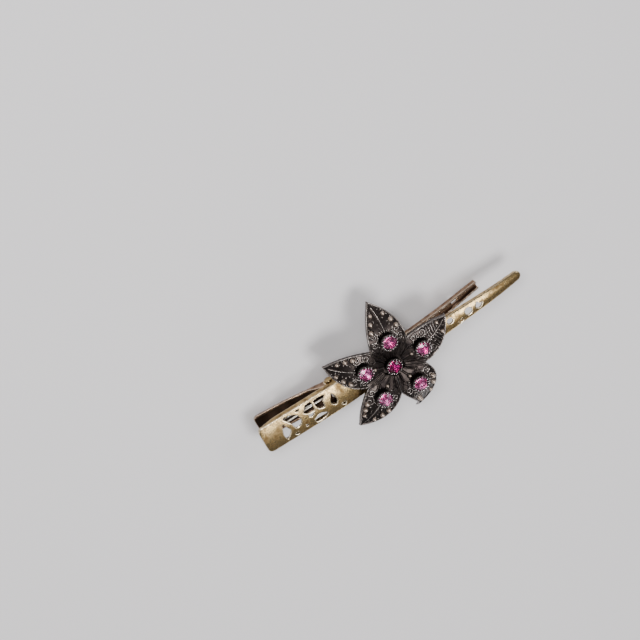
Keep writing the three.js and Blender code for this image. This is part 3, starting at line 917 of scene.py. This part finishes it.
def brilliant(name):
    """A round brilliant: a table, eight kite facets, sixteen girdle facets and a foiled cone."""
    def ring(count, radius, z, offset=0.0):
        turns = [2 * math.pi * (i + offset) / count for i in range(count)]
        return [Vector((radius * math.cos(a), radius * math.sin(a), z)) for a in turns]

    points = ring(8, table_radius, stone_crown)
    points += ring(8, mix(table_radius, stone_radius, 0.5), stone_crown * 0.66, 0.5)
    points += ring(16, stone_radius, 0.1) + ring(16, stone_radius, -0.05)
    points += ring(8, stone_radius * 0.62, -stone_pavilion * 0.58, 0.5)
    points += ring(8, stone_radius * 0.2, -stone_pavilion)
    made = bmesh.new()
    for point in points:
        made.verts.new(point)
    bmesh.ops.convex_hull(made, input=made.verts)
    bmesh.ops.dissolve_limit(made, angle_limit=math.radians(1), verts=made.verts, edges=made.edges)
    bmesh.ops.recalc_face_normals(made, faces=made.faces)
    mesh = bpy.data.meshes.new(name)
    made.to_mesh(mesh)
    made.free()
    stone = bpy.data.objects.new(name, mesh)
    scene.collection.objects.link(stone)
    # A random share for each facet, which the glass and foil colours use as painted glints and reflections.
    facet_glint = mesh.attributes.new("facet_glint", "FLOAT", "FACE")
    facet_glint.data.foreach_set("value", np.array([seed.random() for _ in mesh.polygons], np.float32))
    return stone


# ---- materials -----------------------------------------------------------------------------------
def add_node(tree, kind, inputs=None, **settings):
    made = tree.nodes.new(kind)
    for name, value in settings.items():
        setattr(made, name, value)
    for socket, value in (inputs or {}).items():
        if isinstance(value, bpy.types.NodeSocket):
            tree.links.new(value, made.inputs[socket])
        else:
            made.inputs[socket].default_value = value
    return made


def blend_colours(tree, share, one, other):
    made = tree.nodes.new("ShaderNodeMix")
    made.data_type = "RGBA"
    for index, value in ((0, share), (6, one), (7, other)):
        if isinstance(value, bpy.types.NodeSocket):
            tree.links.new(value, made.inputs[index])
        elif index:
            made.inputs[index].default_value = (*value, 1)
        else:
            made.inputs[index].default_value = value
    return made.outputs[2]


def ranged(tree, value, low, high, to_low=0.0, to_high=1.0):
    inputs = {"Value": value, "From Min": low, "From Max": high, "To Min": to_low, "To Max": to_high}
    return add_node(tree, "ShaderNodeMapRange", inputs).outputs[0]


def noise(tree, place, scale, detail, roughness=0.5):
    inputs = {"Vector": place, "Scale": scale, "Detail": detail, "Roughness": roughness}
    return add_node(tree, "ShaderNodeTexNoise", inputs).outputs["Fac"]


def maths(tree, operation, *values):
    return add_node(tree, "ShaderNodeMath", dict(enumerate(values)), operation=operation).outputs[0]


def worn_metal(name, polished, body, patina, dirt_and_shade, rub, mottle=260, mottle_low=0.42, mottle_high=0.62,
               smooth=0.26, dull=0.5, gilt=None, brushed=True):
    """Metal with a mottled patina that handling has rubbed off its edges and left in its hollows; its dirt
    colour also serves as painted shade where a piece's wear attribute was lowered for shade.
    """
    material = bpy.data.materials.new(name)
    material.use_nodes = True
    tree = material.node_tree
    shader = tree.nodes["Principled BSDF"]
    shader.inputs["Metallic"].default_value = 1.0
    place = add_node(tree, "ShaderNodeTexCoord").outputs["Object"]
    wear_and_shade = add_node(tree, "ShaderNodeAttribute", attribute_name="wear_and_shade").outputs["Fac"]
    broad = noise(tree, place, mottle, 6.0, 0.62)
    fine = noise(tree, place, mottle * 7, 4.0, 0.6)

    patches = ranged(tree, broad, mottle_low, mottle_high)
    specks = ranged(tree, fine, 0.55, 0.72)
    uneven = maths(tree, "SUBTRACT", fine, 0.5)
    shaken = maths(tree, "MULTIPLY_ADD", uneven, rub * 0.9, wear_and_shade)
    rubbed = ranged(tree, shaken, rub * 0.25, rub)
    # Darkening towards the dirt colour: real patina in hollows, and painted shade where the wear attribute
    # was lowered for shade.
    sunk_and_shaded = ranged(tree, shaken, -rub * 0.15, -rub * 0.9)

    colour = blend_colours(tree, patches, body, patina)
    colour = blend_colours(tree, maths(tree, "MULTIPLY", specks, 0.6), colour, patina)
    colour = blend_colours(tree, rubbed, colour, polished)
    if gilt:
        gilding = add_node(tree, "ShaderNodeAttribute", attribute_name="gilding").outputs["Fac"]
        colour = blend_colours(tree, gilding, colour, gilt)
    colour = blend_colours(tree, sunk_and_shaded, colour, dirt_and_shade)
    tree.links.new(colour, shader.inputs["Base Color"])

    rough = ranged(tree, maths(tree, "MAXIMUM", patches, sunk_and_shaded), 0, 1, smooth, dull)
    tree.links.new(maths(tree, "MULTIPLY_ADD", rubbed, -0.08, rough), shader.inputs["Roughness"])

    relief = maths(tree, "ADD", fine, broad)
    bump = add_node(tree, "ShaderNodeBump", {"Strength": 0.35, "Distance": 0.00006, "Height": relief})
    if brushed:
        stretched = add_node(tree, "ShaderNodeMapping", {"Vector": place, "Scale": (0.06, 1.0, 1.0)})
        strokes = noise(tree, stretched.outputs[0], 5200.0, 3.0)
        bump = add_node(tree, "ShaderNodeBump", {"Strength": 0.16, "Distance": 0.00003,
                                                 "Height": strokes, "Normal": bump.outputs[0]})
    tree.links.new(bump.outputs[0], shader.inputs["Normal"])
    return material


def cut_glass(name, deep, pale, roughness=0.03):
    """Clear tinted glass, painted paler and deeper from facet to facet at random as painted glints and
    reflections within the stone.
    """
    material = bpy.data.materials.new(name)
    material.use_nodes = True
    tree = material.node_tree
    shader = tree.nodes["Principled BSDF"]
    shader.inputs["Transmission Weight"].default_value = 1.0
    shader.inputs["IOR"].default_value = 1.56
    shader.inputs["Roughness"].default_value = roughness
    facet_glint = add_node(tree, "ShaderNodeAttribute", attribute_name="facet_glint").outputs["Fac"]
    tree.links.new(blend_colours(tree, facet_glint, deep, pale), shader.inputs["Base Color"])
    return material


def mirror_foil(name, deep, pale):
    """The silvered and lacquered back of a glass stone, painted paler and deeper from facet to facet at
    random as painted reflections.
    """
    material = bpy.data.materials.new(name)
    material.use_nodes = True
    tree = material.node_tree
    shader = tree.nodes["Principled BSDF"]
    shader.inputs["Metallic"].default_value = 1.0
    facet_glint = add_node(tree, "ShaderNodeAttribute", attribute_name="facet_glint").outputs["Fac"]
    place = add_node(tree, "ShaderNodeTexCoord").outputs["Object"]
    crinkle = noise(tree, place, 1400.0, 2.0)
    tree.links.new(blend_colours(tree, facet_glint, deep, pale), shader.inputs["Base Color"])
    tree.links.new(ranged(tree, crinkle, 0.3, 0.7, 0.08, 0.28), shader.inputs["Roughness"])
    bump = add_node(tree, "ShaderNodeBump", {"Strength": 0.3, "Distance": 0.0001, "Height": crinkle})
    tree.links.new(bump.outputs[0], shader.inputs["Normal"])
    return material


antique_brass = worn_metal(
    "antique_brass", polished=(0.95, 0.80, 0.56), body=(0.42, 0.295, 0.135), patina=(0.13, 0.08, 0.032),
    dirt_and_shade=(0.04, 0.024, 0.01), rub=0.07, mottle=330, smooth=0.2, dull=0.4)
aged_brass = worn_metal(
    "aged_brass", polished=(0.88, 0.72, 0.58), body=(0.36, 0.24, 0.16), patina=(0.13, 0.08, 0.055),
    dirt_and_shade=(0.04, 0.025, 0.018), rub=0.075, mottle=330, smooth=0.22, dull=0.42)
spring_steel = worn_metal(
    "spring_steel", polished=(0.72, 0.71, 0.68), body=(0.62, 0.61, 0.58), patina=(0.38, 0.34, 0.29),
    dirt_and_shade=(0.12, 0.10, 0.08), rub=0.05, smooth=0.18, dull=0.36, brushed=False)
dark_bronze = worn_metal(
    "dark_bronze", polished=(0.82, 0.73, 0.68), body=(0.050, 0.040, 0.036), patina=(0.020, 0.016, 0.016),
    dirt_and_shade=(0.004, 0.003, 0.003), rub=0.085, mottle=420, smooth=0.25, dull=0.48,
    gilt=(0.48, 0.385, 0.32), brushed=False)
claw_metal = worn_metal(
    "claw_metal", polished=(0.88, 0.83, 0.81), body=(0.12, 0.10, 0.095), patina=(0.06, 0.05, 0.05),
    dirt_and_shade=(0.03, 0.026, 0.024), rub=0.042, mottle=600, smooth=0.18, dull=0.4, brushed=False)
pink_glass = cut_glass("pink_glass", (0.80, 0.13, 0.46), (1.0, 0.55, 0.80))
pink_foil = mirror_foil("pink_foil", (0.80, 0.20, 0.50), (1.0, 0.86, 0.96))
fuchsia_glass = cut_glass("fuchsia_glass", (0.50, 0.01, 0.30), (0.82, 0.05, 0.52))
fuchsia_foil = mirror_foil("fuchsia_foil", (0.50, 0.03, 0.30), (0.95, 0.20, 0.70))


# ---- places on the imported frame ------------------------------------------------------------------
def node_middle(node):
    low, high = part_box(node)
    return (low + high) / 2


hinge = Vector(frame["joints"][0]["pos_m"])
base_in_clip = Vector((flower_from_tail, 0, face_height(flower_from_tail) + seat_gap + base_thickness / 2))
pin_in_clip = Vector((pin_x, 0, pin_z))
drawn = base_in_clip - pin_in_clip
found = node_middle("flower_base") - hinge
lean = math.atan2(found.z, -found.x) - math.atan2(drawn.z, drawn.x)
clip = (
    Matrix.Translation(hinge)
    @ Matrix.Rotation(math.pi, 4, "Z")
    @ Matrix.Rotation(-lean, 4, "Y")
    @ Matrix.Scale(metres, 4)
    @ Matrix.Translation(-pin_in_clip)
)
about_pin = Matrix.Translation(pin_in_clip)
opened = about_pin @ Matrix.Rotation(math.radians(rest_opening), 4, "Y") @ about_pin.inverted()
flower = clip @ Matrix.Translation((flower_from_tail, 0, face_height(flower_from_tail)))


def build_arms():
    finish_piece(upper_arm(), clip, "upper", antique_brass, ["upper_arm"])
    finish_piece(lower_arm(), clip @ opened, "lower", aged_brass, ["lower_arm"])
    finish_piece(hinge_pin(), clip @ about_pin, "upper", antique_brass, ["hinge_pin"])


def build_spring():
    """The coil twists from its upper leg, which rides on the upper arm, to its lower leg."""
    path, rise = spring_path()
    spring = new_object("torsion_spring_wire", tube(path, wire_radius, 12))
    add_attribute(spring, "wear_and_shade", [0.0] * len(spring.data.vertices))
    spring.data.transform(clip @ about_pin)
    spring.data.shade_smooth()
    spring.data.materials.append(spring_steel)
    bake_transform(spring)
    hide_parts("torsion_spring")


def build_setting(label, place, height, glass, foil):
    cup = claw_cup(label + "_claws", height)
    finish_piece(cup, place, "upper", claw_metal, [label + "_claw_cup"])
    stone = brilliant(label + "_gem")
    seat = place @ Matrix.Translation((0, 0, height))
    finish_piece(stone, seat, "upper", [glass, foil], [label + "_stone"], smooth=False)
    axis = (seat.to_3x3() @ Vector((0, 0, 1))).normalized()
    for face in stone.data.polygons:
        face.material_index = 1 if face.normal.dot(axis) < -0.05 else 0


def build_flower():
    finish_piece(flower_base(), flower @ Matrix.Translation((0, 0, seat_gap)), "upper", dark_bronze,
                 ["flower_base"])
    finish_piece(flower_rivet(), flower, "upper", antique_brass, ["flower_rivet"])
    lift = petal_crest_lift + vein_height + seat_gap
    for i, bend in enumerate(petals):
        turned = flower @ Matrix.Rotation(math.radians(flower_turn + 360 * i / petal_count), 4, "Z")
        finish_piece(petal(bend), turned, "upper", dark_bronze, [bend["name"]])
        seat = turned @ Matrix.Translation((stone_ring_radius, 0, lift))
        build_setting(bend["name"], seat, ring_cup_height, pink_glass, pink_foil)
    middle = flower @ Matrix.Translation((0, 0, seat_gap + base_thickness + seat_gap))
    build_setting("centre", middle, centre_cup_height, fuchsia_glass, fuchsia_foil)


# ---- camera, floor and light ---------------------------------------------------------------------
middle_of_clip = (cad_box[0] + cad_box[1]) / 2
view_azimuth = 10.5
view_elevation = 53
view_roll = 137.9
lens = 135
frame_width = 0.2697     # width of the picture at the clip
aim_right = -0.0302      # from the clip's middle to the middle of the picture
aim_up = 0.0153


def direction(azimuth, elevation):
    a, e = math.radians(azimuth), math.radians(elevation)
    return Vector((math.sin(a) * math.cos(e), -math.cos(a) * math.cos(e), math.sin(e)))


def add_camera():
    towards = direction(view_azimuth, view_elevation)
    level = (-towards).to_track_quat("-Z", "Y").to_matrix()
    upright = level @ Matrix.Rotation(math.radians(view_roll), 3, "Z")
    aim = middle_of_clip + upright.col[0] * aim_right + upright.col[1] * aim_up
    data = bpy.data.cameras.new("camera")
    data.lens = lens
    data.sensor_width = 36
    camera = bpy.data.objects.new("camera", data)
    scene.collection.objects.link(camera)
    eye = middle_of_clip + towards * frame_width * lens / data.sensor_width
    sight = (aim - eye).normalized()
    side = sight.cross(upright.col[1]).normalized()
    turned = Matrix((side, side.cross(sight), -sight)).transposed()
    camera.matrix_world = Matrix.Translation(eye) @ turned.to_4x4()
    data.clip_start = 0.01
    data.clip_end = 20
    scene.camera = camera


def add_floor():
    size = 3.0
    mesh = bpy.data.meshes.new("floor")
    corners = [(-size, -size, 0), (size, -size, 0), (size, size, 0), (-size, size, 0)]
    mesh.from_pydata(corners, [], [(0, 1, 2, 3)])
    floor = bpy.data.objects.new("floor", mesh)
    scene.collection.objects.link(floor)
    material = bpy.data.materials.new("floor")
    material.use_nodes = True
    shader = material.node_tree.nodes["Principled BSDF"]
    shader.inputs["Base Color"].default_value = (0.774, 0.752, 0.763, 1)
    shader.inputs["Roughness"].default_value = 0.9
    mesh.materials.append(material)


def add_softbox(name, azimuth, elevation, distance, size, power):
    data = bpy.data.lights.new(name, "AREA")
    data.shape = "SQUARE"
    data.size = size
    data.energy = power
    lamp = bpy.data.objects.new(name, data)
    towards = direction(azimuth, elevation)
    lamp.location = middle_of_clip + towards * distance
    lamp.rotation_mode = "QUATERNION"
    lamp.rotation_quaternion = (-towards).to_track_quat("-Z", "Y")
    scene.collection.objects.link(lamp)


def add_light():
    add_softbox("key", 14, 47, 0.9, 0.28, 5.5)
    add_softbox("top", 195, 74, 0.9, 0.36, 6.0)
    add_softbox("back", 188, 12, 0.9, 0.22, 1.4)
    add_softbox("left", 285, 35, 1.0, 0.30, 1.6)
    add_softbox("right", 85, 30, 1.0, 0.30, 1.6)
    world = bpy.data.worlds.new("world")
    world.use_nodes = True
    world.node_tree.nodes["Background"].inputs["Color"].default_value = (0.5, 0.5, 0.51, 1)
    world.node_tree.nodes["Background"].inputs["Strength"].default_value = 0.42
    scene.world = world


add_camera()
add_floor()
add_light()
build_arms()
build_spring()
build_flower()
